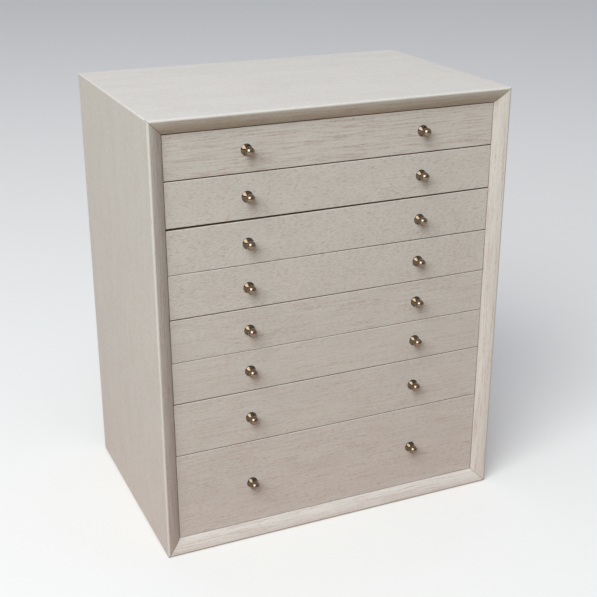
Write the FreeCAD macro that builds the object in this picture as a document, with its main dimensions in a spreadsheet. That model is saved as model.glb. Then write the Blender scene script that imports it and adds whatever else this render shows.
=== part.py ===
import FreeCAD, Part
import math
import os
import Sketcher

# Jewelry case: a mitred cabinet of four boards and a back panel, a convex mitred moulding
# round the front, and eight drawers that slide on wooden side runners. Millimetres.
# The origin is the middle of the underside. +Z is up, and the drawers open towards -Y.

DRAWERS = 8
RING_ROLLS = 12
SCREW_ROWS = 4

# Driving sizes: everything below is worked out from these
SIZES = {
    # Cabinet
    "case_width": 350.0,
    "case_depth": 231.0,
    "board": 14.0,
    "arris_radius": 1.8,
    # Front moulding: a rounded outer arris that runs on into the convex bevel. The angle
    # is how far the bevel already leans back, in degrees, where the arris ends.
    "moulding_depth": 20.0,
    "bevel_start_angle": 18.0,
    "front_recess": 7.4,
    # Back panel in its rebate, and its screws
    "back_thickness": 5.0,
    "rebate_width": 7.0,
    "back_play": 0.2,
    "screw_radius": 1.2,
    "screw_length": 16.0,
    "screw_margin": 34.0,
    "screw_head_radius": 2.6,
    "screw_head_height": 1.6,
    "screw_play": 0.05,
    # Drawer fronts, numbered from the top, and the gap under each
    "front_thickness": 12.0,
    "eased_edge": 0.5,
    "gap_beside": 0.5,
    "gap_above": 0.8,
    "front_height_1": 39.4,
    "front_height_2": 40.8,
    "front_height_3": 40.7,
    "front_height_4": 41.05,
    "front_height_5": 41.1,
    "front_height_6": 40.3,
    "front_height_7": 52.4,
    "front_height_8": 87.0,
    "gap_under_1": 1.0,
    "gap_under_2": 1.6,
    "gap_under_3": 0.65,
    "gap_under_4": 0.8,
    "gap_under_5": 0.5,
    "gap_under_6": 0.8,
    "gap_under_7": 0.7,
    "gap_under_8": 0.4,
    # Drawer boxes
    "side_thickness": 8.0,
    "box_clearance": 1.5,
    "box_lift": 3.0,
    "box_drop": 5.0,
    "rear_clearance": 4.0,
    "drawer_back_thickness": 8.0,
    "bottom_thickness": 3.0,
    "bottom_lift": 4.0,
    "bottom_groove": 3.0,
    "bottom_play": 0.2,
    # Runners, and the groove in each drawer side that rides on them
    "runner_height": 8.0,
    "runner_lift": 14.0,
    "runner_groove": 4.0,
    "runner_play": 0.3,
    "runner_setback": 3.0,
    # Soft linings
    "lining_thickness": 1.5,
    "lining_play": 0.3,
    "lining_drop": 1.0,
    "roll_play": 0.3,
    # Knobs
    "knob_spacing": 172.2,
    "knob_base_radius": 5.3,
    "knob_rim": 0.6,
    "knob_neck_radius": 2.3,
    "knob_neck_start": 3.7,
    "knob_ball_radius": 4.3,
    "knob_ball_reach": 7.6,
    "stud_radius": 1.25,
    "stud_length": 9.0,
    "stud_hole_spare": 0.5,
    "stud_play": 0.05,
    # How far below the middle of its front each drawer's knobs sit, or above it if negative
    "knob_drop_1": -0.3,
    "knob_drop_2": 0.2,
    "knob_drop_3": 0.6,
    "knob_drop_4": 0.7,
    "knob_drop_5": 0.3,
    "knob_drop_6": -0.1,
    "knob_drop_7": 0.9,
    "knob_drop_8": 0.7,
}

doc = FreeCAD.newDocument("JewelryCase")
sheet = doc.addObject("Spreadsheet::Sheet", "Sizes")
for row, (alias, size) in enumerate(SIZES.items(), start=1):
    sheet.set(f"A{row}", str(size))
    sheet.setAlias(f"A{row}", alias)
doc.recompute()

# Places and sizes that several pieces share, as expressions on the sheet
FRONT_PLANE = "-Sizes.case_depth / 2"
DRAWER_PLANE = f"{FRONT_PLANE} + Sizes.front_recess"
BOX_PLANE = f"{DRAWER_PLANE} + Sizes.front_thickness"
BOARD_LENGTH = "(Sizes.case_depth - Sizes.moulding_depth)"
OPENING_HALF = "(Sizes.case_width / 2 - Sizes.board)"
FRONT_HALF = f"({OPENING_HALF} - Sizes.gap_beside)"
BOX_HALF = f"({OPENING_HALF} - Sizes.box_clearance)"
INSIDE_HALF = f"({BOX_HALF} - Sizes.side_thickness)"
BOTTOM_HALF = f"({INSIDE_HALF} + Sizes.bottom_groove)"
BOX_LENGTH = ("(Sizes.case_depth - Sizes.front_recess - Sizes.front_thickness"
              " - Sizes.back_thickness - Sizes.rear_clearance)")
INSIDE_LENGTH = f"({BOX_LENGTH} - Sizes.drawer_back_thickness)"
BOTTOM_LEVEL = "(Sizes.box_lift + Sizes.bottom_lift)"
FLOOR_LEVEL = f"({BOTTOM_LEVEL} + Sizes.bottom_thickness)"
LINING_SETBACK = "(Sizes.lining_play + Sizes.lining_thickness)"


def front_height(number):
    return f"Sizes.front_height_{number}"


def front_level(number):
    """Underside of one drawer front above the table, with all that is stacked below it."""
    terms = ["Sizes.board", f"Sizes.gap_under_{number}"]
    for lower in range(number + 1, DRAWERS + 1):
        terms += [front_height(lower), f"Sizes.gap_under_{lower}"]
    return "(" + " + ".join(terms) + ")"


def knob_level(number):
    """Middle of one drawer's knobs, above the underside of its front."""
    return f"({front_height(number)} / 2 - Sizes.knob_drop_{number})"


def box_top(number):
    """Top edge of a drawer's box, above the underside of its front."""
    return f"({front_height(number)} - Sizes.box_drop)"


CASE_HEIGHT = f"({front_level(1)} + {front_height(1)} + Sizes.gap_above + Sizes.board)"

# Every finished sub-part, in the order in which it is made
pieces = []

# How near a plane an edge must lie to count as lying in it
ON_PLANE = 1e-6


def value(expression):
    """The number that an expression gives with the sizes in the sheet."""
    return float(sheet.evalExpression(expression))


def finish(piece, label, x="0", y="0", z="0", turn=0):
    """Names a sub-part, turns it about Y, ties its place to the sheet and lists it."""
    piece.Label = label
    piece.Placement = FreeCAD.Placement(
        FreeCAD.Vector(), FreeCAD.Rotation(FreeCAD.Vector(0, 1, 0), turn))
    for axis, place in (("x", x), ("y", y), ("z", z)):
        piece.setExpression(f"Placement.Base.{axis}", place)
    pieces.append(piece)


# Sketch helpers. A front-view sketch lies on XZ, a side-view sketch on YZ.

def new_body(name):
    body = doc.addObject("PartDesign::Body", name)
    body.AllowCompound = True
    return body


def origin_plane(body, role):
    return next(item for item in body.Origin.OriginFeatures if item.Role == role)


def front_sketch(body, name, depth="0"):
    """A sketch seen from the front, at a depth behind the body's own front plane."""
    sketch = body.newObject("Sketcher::SketchObject", name)
    sketch.AttachmentSupport = [(origin_plane(body, "XZ_Plane"), "")]
    sketch.MapMode = "FlatFace"
    sketch.setExpression("AttachmentOffset.Base.z", f"-({depth})")
    return sketch


def side_sketch(body, name, across="0"):
    """A sketch seen from the right: its X runs to the back, its Y runs up."""
    sketch = body.newObject("Sketcher::SketchObject", name)
    sketch.AttachmentSupport = [(origin_plane(body, "YZ_Plane"), "")]
    sketch.MapMode = "FlatFace"
    sketch.setExpression("AttachmentOffset.Base.z", across)
    return sketch


def constrain(sketch, constraint, size):
    """Adds a constraint whose size follows an expression."""
    index = sketch.addConstraint(constraint)
    sketch.setExpression(f"Constraints[{index}]", size)


def pin(sketch, geometry, point, across, up):
    """Holds one point of a line, arc or circle at a place given by two expressions."""
    for kind, place in (("DistanceX", across), ("DistanceY", up)):
        fixed = Sketcher.Constraint(kind, -1, 1, geometry, point, value(place))
        constrain(sketch, fixed, place)


def arc_through(start, end, radius, bulge):
    """Arc of under a half circle from start to end. It bulges to the left or the right."""
    chord = end - start
    half = chord.Length / 2
    rise = radius - math.sqrt(radius ** 2 - half ** 2)
    left = FreeCAD.Vector(-chord.y, chord.x, 0).normalize()
    side = 1 if bulge == "left" else -1
    return Part.Arc(start, (start + end) / 2 + left * rise * side, end)


def outline(sketch, corners, arcs=None):
    """Closed outline through corners, each a pair of expressions. The side that leaves
    corner number n is an arc where arcs holds n: its radius and the way it bulges."""
    arcs = arcs or {}
    points = [FreeCAD.Vector(value(x), value(y), 0) for x, y in corners]
    sides = []
    for number, start in enumerate(points):
        end = points[(number + 1) % len(points)]
        first, last = 1, 2
        if number in arcs:
            radius, bulge = arcs[number]
            index = sketch.addGeometry(arc_through(start, end, value(radius), bulge))
            constrain(sketch, Sketcher.Constraint("Radius", index, value(radius)), radius)
            if bulge == "left":
                # A sketch counts the ends of an arc anticlockwise
                first, last = 2, 1
        else:
            index = sketch.addGeometry(Part.LineSegment(start, end))
        sides.append((index, first, last))
    for number, (index, first, last) in enumerate(sides):
        following, following_first, _ = sides[(number + 1) % len(sides)]
        sketch.addConstraint(
            Sketcher.Constraint("Coincident", index, last, following, following_first))
        pin(sketch, index, first, *corners[number])


def rectangle(sketch, left, low, right, high):
    outline(sketch, [(left, low), (right, low), (right, high), (left, high)])


def circles(sketch, centres, radius):
    """Circles of one radius round a list of centres, each a pair of expressions."""
    for x, y in centres:
        centre = FreeCAD.Vector(value(x), value(y), 0)
        index = sketch.addGeometry(
            Part.Circle(centre, FreeCAD.Vector(0, 0, 1), value(radius)))
        constrain(sketch, Sketcher.Constraint("Radius", index, value(radius)), radius)
        pin(sketch, index, 3, x, y)


# Feature helpers

def pad(body, sketch, name, length, to_back=True, middle=False, taper=0.0):
    """Pads a front-view sketch to the back or to the front, or any sketch both ways."""
    feature = body.newObject("PartDesign::Pad", name)
    feature.Profile = sketch
    feature.setExpression("Length", length)
    feature.Reversed = to_back
    feature.Midplane = middle
    feature.TaperAngle = taper
    doc.recompute()
    return feature


def pocket(body, sketch, name, length=None, to_back=True):
    """Cuts a front-view sketch to a depth, or any sketch right through both ways."""
    before = body.Shape.Volume
    feature = body.newObject("PartDesign::Pocket", name)
    feature.Profile = sketch
    if length is None:
        feature.Type = "ThroughAll"
        feature.Midplane = True
    else:
        feature.setExpression("Length", length)
        feature.Reversed = not to_back
    doc.recompute()
    if body.Shape.Volume >= before:
        raise RuntimeError(f"{body.Name}: {name} cuts nothing")
    return feature


def mirrored(body, *features):
    """Repeats features on the other side of the middle plane."""
    mirror = body.newObject("PartDesign::Mirrored", "OtherSide")
    mirror.Originals = list(features)
    mirror.MirrorPlane = (origin_plane(body, "YZ_Plane"), [""])
    body.Tip = mirror
    doc.recompute()
    return mirror


def box(name, width, depth, height):
    block = doc.addObject("Part::Box", name)
    for side, size in (("Length", width), ("Width", depth), ("Height", height)):
        block.setExpression(side, size)
    return block


# Cabinet boards and front mouldings. Each is drawn as the bottom one, with its outer face
# down and its middle at the origin, and is then turned into its place.

# Where the mitre line crosses the rounded outer arris, measured in from each outer face
ARRIS_MITRE = "Sizes.arris_radius * (1 - sqrt(0.5))"


def turned_places(y):
    """Name, length, place and turn of the four members round the case."""
    middle = f"{CASE_HEIGHT} / 2"
    return {
        "bottom": dict(x="0", y=y, z="0", turn=0),
        "left": dict(x="-Sizes.case_width / 2", y=y, z=middle, turn=90),
        "top": dict(x="0", y=y, z=CASE_HEIGHT, turn=180),
        "right": dict(x="Sizes.case_width / 2", y=y, z=middle, turn=-90),
    }


def member_length(side):
    return CASE_HEIGHT if side in ("left", "right") else "Sizes.case_width"


def screw_rows():
    """Heights of the back panel's screws from the middle of the case."""
    reach = f"({CASE_HEIGHT} / 2 - Sizes.screw_margin)"
    return [f"{reach} * {2 * row / (SCREW_ROWS - 1) - 1}" for row in range(SCREW_ROWS)]


def board(side, label, place):
    """A cabinet board, mitred at both ends, with the rebate for the back panel."""
    half = f"({member_length(side)} / 2)"
    body = new_body(f"Board_{side}")
    section = front_sketch(body, "Section")
    corners = [
        (f"{half} - Sizes.arris_radius", "0"),
        (f"{half} - {ARRIS_MITRE}", ARRIS_MITRE),
        (f"{half} - Sizes.board", "Sizes.board"),
        (f"-{half} + Sizes.board", "Sizes.board"),
        (f"-{half} + {ARRIS_MITRE}", ARRIS_MITRE),
        (f"-{half} + Sizes.arris_radius", "0"),
    ]
    rounded = ("Sizes.arris_radius", "right")
    outline(section, corners, {0: rounded, 4: rounded})
    pad(body, section, "Length", BOARD_LENGTH)
    rebate = side_sketch(body, "Rebate")
    rectangle(rebate, f"{BOARD_LENGTH} - Sizes.back_thickness", "Sizes.board - Sizes.rebate_width",
              BOARD_LENGTH, "Sizes.board")
    pocket(body, rebate, "RebateCut")
    if side in ("left", "right"):
        pilots = front_sketch(body, "Pilots", f"{BOARD_LENGTH} - Sizes.back_thickness")
        across = "Sizes.board - Sizes.rebate_width / 2"
        circles(pilots, [(height, across) for height in screw_rows()],
                "Sizes.screw_radius + Sizes.screw_play")
        pocket(body, pilots, "PilotHoles",
               "Sizes.screw_length - Sizes.back_thickness + Sizes.screw_radius", to_back=False)
    finish(body, label, **place)


def moulding(side, label, place):
    """A front moulding: its section runs along the member, and its ends are mitred."""
    length = member_length(side)
    half = f"({length} / 2)"
    # The bevel is an arc that leaves the rounded arris smoothly and ends at the drawers
    edge_back = "(Sizes.arris_radius * (1 - cos(Sizes.bevel_start_angle)))"
    edge_up = "(Sizes.arris_radius * (1 + sin(Sizes.bevel_start_angle)))"
    rise = f"(Sizes.board - {edge_up})"
    fall = f"(Sizes.front_recess - {edge_back})"
    half_turn = f"(atan({fall} / {rise}) - Sizes.bevel_start_angle * 1 deg)"
    bevel_radius = f"sqrt({rise}^2 + {fall}^2) / (2 * sin({half_turn}))"
    body = new_body(f"Moulding_{side}")
    section = side_sketch(body, "Section")
    corners = [
        ("Sizes.arris_radius", "0"),
        ("Sizes.moulding_depth", "0"),
        ("Sizes.moulding_depth", "Sizes.board"),
        ("Sizes.front_recess", "Sizes.board"),
        (edge_back, edge_up),
    ]
    outline(section, corners, {3: (bevel_radius, "right"), 4: ("Sizes.arris_radius", "right")})
    pad(body, section, "Length", length, middle=True)
    for end, way in (("Right", 1), ("Left", -1)):
        mitre = front_sketch(body, f"Mitre{end}")
        corners = [
            (f"{way} * ({half} - Sizes.arris_radius)", "0"),
            (f"{way} * {half}", "0"),
            (f"{way} * {half}", "Sizes.board"),
            (f"{way} * ({half} - Sizes.board)", "Sizes.board"),
            (f"{way} * ({half} - {ARRIS_MITRE})", ARRIS_MITRE),
        ]
        outline(mitre, corners, {4: ("Sizes.arris_radius", "left" if way < 0 else "right")})
        pocket(body, mitre, f"MitreCut{end}")
    finish(body, label, **place)


board_labels = {"bottom": "bottom_board", "left": "left_side", "top": "top_board",
                "right": "right_side"}
for side, place in turned_places(f"{FRONT_PLANE} + Sizes.moulding_depth").items():
    board(side, board_labels[side], place)

moulding_labels = {"bottom": "frame_bottom_rail", "left": "frame_left_stile",
                   "top": "frame_top_rail", "right": "frame_right_stile"}
for side, place in turned_places(FRONT_PLANE).items():
    moulding(side, moulding_labels[side], place)


# Back panel and its countersunk screws

BACK_HALF_WIDTH = f"({OPENING_HALF} + Sizes.rebate_width - Sizes.back_play)"
BACK_HALF_HEIGHT = f"({CASE_HEIGHT} / 2 - Sizes.board + Sizes.rebate_width - Sizes.back_play)"
SCREW_ACROSS = f"({OPENING_HALF} + Sizes.rebate_width / 2)"
screw_centres = [(f"{way} * {SCREW_ACROSS}", height)
                 for way in (-1, 1) for height in screw_rows()]

# Full angle of a screw's conical head
HEAD_ANGLE = ("2 * atan((Sizes.screw_head_radius - Sizes.screw_radius)"
              " / Sizes.screw_head_height)")


def back_panel():
    body = new_body("BackPanel")
    sheet_outline = front_sketch(body, "Outline")
    rectangle(sheet_outline, f"-{BACK_HALF_WIDTH}", f"-{BACK_HALF_HEIGHT}",
              BACK_HALF_WIDTH, BACK_HALF_HEIGHT)
    pad(body, sheet_outline, "Thickness", "Sizes.back_thickness")
    centres = front_sketch(body, "ScrewHoles", "Sizes.back_thickness")
    circles(centres, screw_centres, "Sizes.screw_radius + Sizes.screw_play")
    doc.recompute()
    before = body.Shape.Volume
    holes = body.newObject("PartDesign::Hole", "Countersinks")
    holes.Profile = centres
    holes.Threaded = False
    holes.setExpression("Diameter", "2 * (Sizes.screw_radius + Sizes.screw_play)")
    holes.DepthType = "ThroughAll"
    holes.HoleCutType = "Countersink"
    holes.HoleCutCustomValues = True
    holes.setExpression("HoleCutDiameter", "2 * (Sizes.screw_head_radius + Sizes.screw_play)")
    holes.setExpression("HoleCutCountersinkAngle", HEAD_ANGLE)
    holes.Reversed = True
    doc.recompute()
    if body.Shape.Volume >= before:
        raise RuntimeError("the back panel has no screw holes")
    finish(body, "back_panel", y="Sizes.case_depth / 2 - Sizes.back_thickness",
           z=f"{CASE_HEIGHT} / 2")


def back_screws():
    """All the screws of the back panel: a cone under each flat head, then the shank."""
    body = new_body("BackScrews")
    shanks = front_sketch(body, "Shanks")
    circles(shanks, screw_centres, "Sizes.screw_radius")
    pad(body, shanks, "ShankPad", "Sizes.screw_length", to_back=False)
    heads = front_sketch(body, "Heads")
    circles(heads, screw_centres, "Sizes.screw_head_radius")
    cones = pad(body, heads, "HeadPad", "Sizes.screw_head_height", to_back=False)
    cones.setExpression("TaperAngle", f"-({HEAD_ANGLE}) / 2")
    doc.recompute()
    finish(body, "back_screws", y="Sizes.case_depth / 2", z=f"{CASE_HEIGHT} / 2")


back_panel()
back_screws()


# Runners: a pair for each drawer, on the inner faces of the side boards

def drawer_runners():
    body = new_body("Runners")
    ends = front_sketch(body, "RunnerEnds")
    tip = f"({BOX_HALF} - Sizes.runner_groove + Sizes.runner_play)"
    for number in range(1, DRAWERS + 1):
        low = f"{front_level(number)} + Sizes.runner_lift"
        rectangle(ends, f"-{OPENING_HALF}", low, f"-{tip}", f"{low} + Sizes.runner_height")
    length = f"{BOX_LENGTH} + Sizes.rear_clearance - Sizes.runner_setback"
    left_runners = pad(body, ends, "LeftRunners", length)
    mirrored(body, left_runners)
    finish(body, "drawer_runners", y=f"{BOX_PLANE} + Sizes.runner_setback")


drawer_runners()


# Drawers. Each piece is drawn from the underside of its own front, and placed at that level.

def drawer_front(number):
    body = new_body(f"Front_{number}")
    face = front_sketch(body, "Face")
    rectangle(face, f"-{FRONT_HALF}", "0", FRONT_HALF, front_height(number))
    slab = pad(body, face, "Thickness", "Sizes.front_thickness")
    eased = body.newObject("PartDesign::Fillet", "EasedEdges")
    front_edges = [f"Edge{index}" for index, edge in enumerate(slab.Shape.Edges, start=1)
                   if abs(edge.BoundBox.YMax) < ON_PLANE]
    eased.Base = (slab, front_edges)
    eased.setExpression("Radius", "Sizes.eased_edge")
    doc.recompute()
    groove = front_sketch(body, "BottomGroove", "Sizes.front_thickness")
    rectangle(groove, f"-{BOTTOM_HALF}", BOTTOM_LEVEL, BOTTOM_HALF, FLOOR_LEVEL)
    pocket(body, groove, "BottomGrooveCut", "Sizes.bottom_groove", to_back=False)
    studs = front_sketch(body, "StudCentres")
    circles(studs, [(f"{way} * Sizes.knob_spacing / 2", knob_level(number))
                    for way in (-1, 1)], "Sizes.stud_radius + Sizes.stud_play")
    pocket(body, studs, "StudHoles", "Sizes.stud_length + Sizes.stud_hole_spare")
    finish(body, f"drawer_{number}_front", y=DRAWER_PLANE, z=front_level(number))


def drawer_sides(number):
    """Both sides of a drawer's box, each with its runner groove and its bottom groove."""
    body = new_body(f"Sides_{number}")
    section = front_sketch(body, "Section")
    outer = f"-{BOX_HALF}"
    inner = f"-{INSIDE_HALF}"
    runner_deep = f"{outer} + Sizes.runner_groove"
    runner_low = "Sizes.runner_lift - Sizes.runner_play"
    runner_high = "Sizes.runner_lift + Sizes.runner_height + Sizes.runner_play"
    corners = [
        (outer, "Sizes.box_lift"),
        (inner, "Sizes.box_lift"),
        (inner, BOTTOM_LEVEL),
        (f"-{BOTTOM_HALF}", BOTTOM_LEVEL),
        (f"-{BOTTOM_HALF}", FLOOR_LEVEL),
        (inner, FLOOR_LEVEL),
        (inner, box_top(number)),
        (outer, box_top(number)),
        (outer, runner_high),
        (runner_deep, runner_high),
        (runner_deep, runner_low),
        (outer, runner_low),
    ]
    outline(section, corners)
    left_side = pad(body, section, "LeftSide", BOX_LENGTH)
    mirrored(body, left_side)
    finish(body, f"drawer_{number}_sides", y=BOX_PLANE, z=front_level(number))


def drawer_back(number):
    """The back stands on the bottom board, between the sides."""
    board_back = box(f"Back_{number}", f"2 * {INSIDE_HALF}", "Sizes.drawer_back_thickness",
                     f"{box_top(number)} - {FLOOR_LEVEL}")
    finish(board_back, f"drawer_{number}_back", x=f"-{INSIDE_HALF}",
           y=f"{BOX_PLANE} + {INSIDE_LENGTH}", z=f"{front_level(number)} + {FLOOR_LEVEL}")


def drawer_bottom(number):
    """Thin board, held in the grooves of the front and the sides, with a little play."""
    reach = "(Sizes.bottom_groove - Sizes.bottom_play)"
    half = f"({INSIDE_HALF} + {reach})"
    floor_board = box(f"Bottom_{number}", f"2 * {half}", f"{BOX_LENGTH} + {reach}",
                      "Sizes.bottom_thickness")
    finish(floor_board, f"drawer_{number}_bottom", x=f"-{half}", y=f"{BOX_PLANE} - {reach}",
           z=f"{front_level(number)} + {BOTTOM_LEVEL}")


def drawer_lining(number):
    """Soft tray that lines the drawer: a floor and four thin walls."""
    height = f"({box_top(number)} - {FLOOR_LEVEL} - Sizes.lining_drop)"
    width = f"2 * ({INSIDE_HALF} - Sizes.lining_play)"
    length = f"{INSIDE_LENGTH} - 2 * Sizes.lining_play"
    shell = box(f"LiningOuter_{number}", width, length, height)
    hollow = box(f"LiningInner_{number}", f"{width} - 2 * Sizes.lining_thickness",
                 f"{length} - 2 * Sizes.lining_thickness", height)
    for axis in ("x", "y", "z"):
        hollow.setExpression(f"Placement.Base.{axis}", "Sizes.lining_thickness")
    tray = doc.addObject("Part::Cut", f"Lining_{number}")
    tray.Base = shell
    tray.Tool = hollow
    finish(tray, f"drawer_{number}_lining", x=f"-({width}) / 2",
           y=f"{BOX_PLANE} + Sizes.lining_play", z=f"{front_level(number)} + {FLOOR_LEVEL}")


def ring_rolls():
    """Soft rolls side by side across the top drawer, from its front to its back."""
    body = new_body("RingRolls")
    clear_length = f"({INSIDE_LENGTH} - 2 * {LINING_SETBACK})"
    pitch = f"({clear_length} / {RING_ROLLS})"
    radius = f"({pitch} - Sizes.roll_play) / 2"
    ends = side_sketch(body, "RollEnds")
    circles(ends, [(f"{pitch} * {index + 0.5}", radius) for index in range(RING_ROLLS)], radius)
    pad(body, ends, "Rolls", f"2 * ({INSIDE_HALF} - {LINING_SETBACK} - Sizes.roll_play)",
        middle=True)
    finish(body, "drawer_1_ring_rolls", y=f"{BOX_PLANE} + {LINING_SETBACK}",
           z=f"{front_level(1)} + {FLOOR_LEVEL} + Sizes.lining_thickness")


def drawer_knobs(number):
    """Two turned knobs: a stud in the wood, a base with a conical face, a neck and a ball."""
    body = new_body(f"Knobs_{number}")
    half_section = side_sketch(body, "HalfSection", "-Sizes.knob_spacing / 2")
    neck_end = ("Sizes.knob_ball_reach"
                " - sqrt(Sizes.knob_ball_radius^2 - Sizes.knob_neck_radius^2)")
    corners = [
        ("Sizes.stud_length", "0"),
        ("Sizes.stud_length", "Sizes.stud_radius"),
        ("0", "Sizes.stud_radius"),
        ("0", "Sizes.knob_base_radius"),
        ("-Sizes.knob_rim", "Sizes.knob_base_radius"),
        ("-Sizes.knob_neck_start", "Sizes.knob_neck_radius"),
        (f"-({neck_end})", "Sizes.knob_neck_radius"),
        ("-(Sizes.knob_ball_reach + Sizes.knob_ball_radius)", "0"),
    ]
    outline(half_section, corners, {6: ("Sizes.knob_ball_radius", "right")})
    left_knob = body.newObject("PartDesign::Revolution", "LeftKnob")
    left_knob.Profile = half_section
    left_knob.ReferenceAxis = (half_section, ["H_Axis"])
    doc.recompute()
    mirrored(body, left_knob)
    finish(body, f"drawer_{number}_knobs", y=DRAWER_PLANE,
           z=f"{front_level(number)} + {knob_level(number)}")


for number in range(1, DRAWERS + 1):
    drawer_front(number)
    drawer_sides(number)
    drawer_back(number)
    drawer_bottom(number)
    drawer_lining(number)
    drawer_knobs(number)
ring_rolls()


# Check the whole document, then write each sub-part

doc.recompute()
for item in doc.Objects:
    if "Invalid" in item.State or "Error" in item.State:
        raise RuntimeError(f"{item.Label} failed: {item.State}")
for piece in pieces:
    if piece.Shape.isNull() or not piece.Shape.isValid():
        raise RuntimeError(f"{piece.Label} has no valid shape")

os.makedirs("parts", exist_ok=True)
for piece in pieces:
    piece.Shape.exportStep(f"parts/{piece.Label}.step")
print(f"{len(pieces)} sub-parts, case height {value(CASE_HEIGHT):.1f} mm")
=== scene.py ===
import math

import bmesh
import bpy
from mathutils import Matrix, Vector


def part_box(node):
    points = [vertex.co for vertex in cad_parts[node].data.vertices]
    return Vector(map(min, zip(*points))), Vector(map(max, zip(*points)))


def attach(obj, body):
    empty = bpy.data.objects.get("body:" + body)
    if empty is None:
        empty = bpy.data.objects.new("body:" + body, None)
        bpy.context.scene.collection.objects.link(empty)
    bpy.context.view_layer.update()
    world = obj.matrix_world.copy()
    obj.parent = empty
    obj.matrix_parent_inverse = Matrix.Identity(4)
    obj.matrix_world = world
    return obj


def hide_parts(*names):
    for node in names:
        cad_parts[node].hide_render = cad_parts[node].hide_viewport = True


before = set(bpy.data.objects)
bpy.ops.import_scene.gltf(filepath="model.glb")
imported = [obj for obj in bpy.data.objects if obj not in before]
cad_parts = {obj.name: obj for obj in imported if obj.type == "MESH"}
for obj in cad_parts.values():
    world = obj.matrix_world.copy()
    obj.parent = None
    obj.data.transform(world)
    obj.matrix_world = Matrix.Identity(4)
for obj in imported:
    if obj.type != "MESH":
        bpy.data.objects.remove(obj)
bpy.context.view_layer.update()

# Jewelry case: a limed oak cabinet with a mitred, convex front moulding, eight drawers
# with turned knobs, and velvet inside them. All lengths are metres. X runs to the right
# as seen from the front, Y to the back and Z up.

MM = 0.001
DRAWERS = range(1, 9)

# Cabinet sizes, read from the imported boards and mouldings
CASE_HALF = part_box("right_side")[1].x
CASE_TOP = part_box("top_board")[1].z
BOARD = CASE_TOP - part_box("top_board")[0].z
FRONT_Y, MOULDING_BACK = (corner.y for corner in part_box("frame_top_rail"))
REAR_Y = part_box("top_board")[1].y
DRAWER_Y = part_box("drawer_1_front")[0].y
RECESS = DRAWER_Y - FRONT_Y
PANEL_PLAY = 0.2 * MM
REBATE_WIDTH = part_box("back_panel")[1].x + PANEL_PLAY - (CASE_HALF - BOARD)
REBATE_DEPTH = REAR_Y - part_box("back_panel")[0].y

# Small shapes of the cabinet and the drawers
ARRIS = 1.8 * MM
BEVEL_START = math.radians(18)
SEAM = 0.12 * MM
EASED = 0.5 * MM
REAR_EASED = 0.6 * MM
EASED_STEPS = 3
GROOVE_DEPTH = 3 * MM
GROOVE_PLAY = 0.2 * MM
STUD_HOLE = 1.3 * MM
STUD_HOLE_DEPTH = 9.5 * MM

# How many cuts round the arris, the bevel and the outer corners of a member
ARRIS_STEPS = 7
BEVEL_STEPS = 10
CORNER_STEPS = 3

# How far the left end of a front's top edge hangs below its mean, and the right end above
# it: no drawer sits quite square, so the gap over some of them tapers
FRONT_LEAN = {3: 0.38 * MM, 4: -0.17 * MM, 5: 0.20 * MM, 6: -0.05 * MM, 7: 0.16 * MM,
              8: 0.05 * MM}

# Nearer than this, points and planes are the same
SAME = 1e-6


# ---------- Modelling helpers ----------

def only(piece):
    """Makes one piece the selected and active one."""
    bpy.ops.object.select_all(action="DESELECT")
    piece.select_set(True)
    bpy.context.view_layer.objects.active = piece


def open_mesh(piece, action="DESELECT"):
    """Opens a piece in edit mode, with all or none of it selected."""
    only(piece)
    bpy.ops.object.mode_set(mode="EDIT")
    bpy.ops.mesh.select_mode(type="VERT")
    bpy.ops.mesh.select_all(action=action)


def close_mesh():
    bpy.ops.object.mode_set(mode="OBJECT")


def pick_edges(piece, test):
    """Opens a piece with those edges selected whose two ends pass a test together."""
    open_mesh(piece)
    bpy.ops.mesh.select_mode(type="EDGE")
    mesh = bmesh.from_edit_mesh(piece.data)
    for edge in mesh.edges:
        edge.select_set(test(edge.verts[0].co, edge.verts[1].co))
    bmesh.update_edit_mesh(piece.data)


def pick_faces(piece, test):
    """Opens a piece with those faces selected whose middle and normal pass a test."""
    open_mesh(piece)
    bpy.ops.mesh.select_mode(type="FACE")
    mesh = bmesh.from_edit_mesh(piece.data)
    for face in mesh.faces:
        face.select_set(test(face.calc_center_median(), face.normal))
    bmesh.update_edit_mesh(piece.data)


def settle(piece):
    """Puts a piece's place and turn into its mesh."""
    only(piece)
    bpy.ops.object.transform_apply()


def block(name, low, high):
    """A block between two corners."""
    low, high = Vector(low), Vector(high)
    bpy.ops.object.select_all(action="DESELECT")
    bpy.ops.mesh.primitive_cube_add(size=1, location=(low + high) / 2, scale=high - low)
    piece = bpy.context.object
    piece.name = name
    settle(piece)
    return piece


def cut(piece, point, normal):
    """Cuts away what lies beyond a plane, on the side that its normal points to."""
    open_mesh(piece, "SELECT")
    bpy.ops.mesh.bisect(plane_co=point, plane_no=normal, use_fill=True, clear_outer=True,
                        threshold=SAME)
    close_mesh()


def round_off(piece, centre, radius, out, up, turn, steps):
    """Rounds an edge with cuts tangent to an arc, which faces out and turns towards up."""
    for step in range(steps):
        angle = turn * (step + 0.5) / steps
        normal = Vector(out) * math.cos(angle) + Vector(up) * math.sin(angle)
        cut(piece, Vector(centre) + normal * radius, normal)


def bevel(width, segments):
    """Bevels the selected edges of the open piece, and closes it."""
    bpy.ops.mesh.bevel(offset=width, offset_type="OFFSET", segments=segments,
                       affect="EDGES", clamp_overlap=True)
    close_mesh()


def apply_modifier(piece, kind, **settings):
    only(piece)
    bpy.ops.object.modifier_add(type=kind)
    modifier = piece.modifiers[-1]
    for key, value in settings.items():
        setattr(modifier, key, value)
    bpy.ops.object.modifier_apply(modifier=modifier.name)


def carve(piece, *cutters):
    """Takes the shapes of the cutters out of a piece."""
    for cutter in cutters:
        apply_modifier(piece, "BOOLEAN", object=cutter, operation="DIFFERENCE",
                       solver="EXACT")
        bpy.data.objects.remove(cutter)


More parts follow.
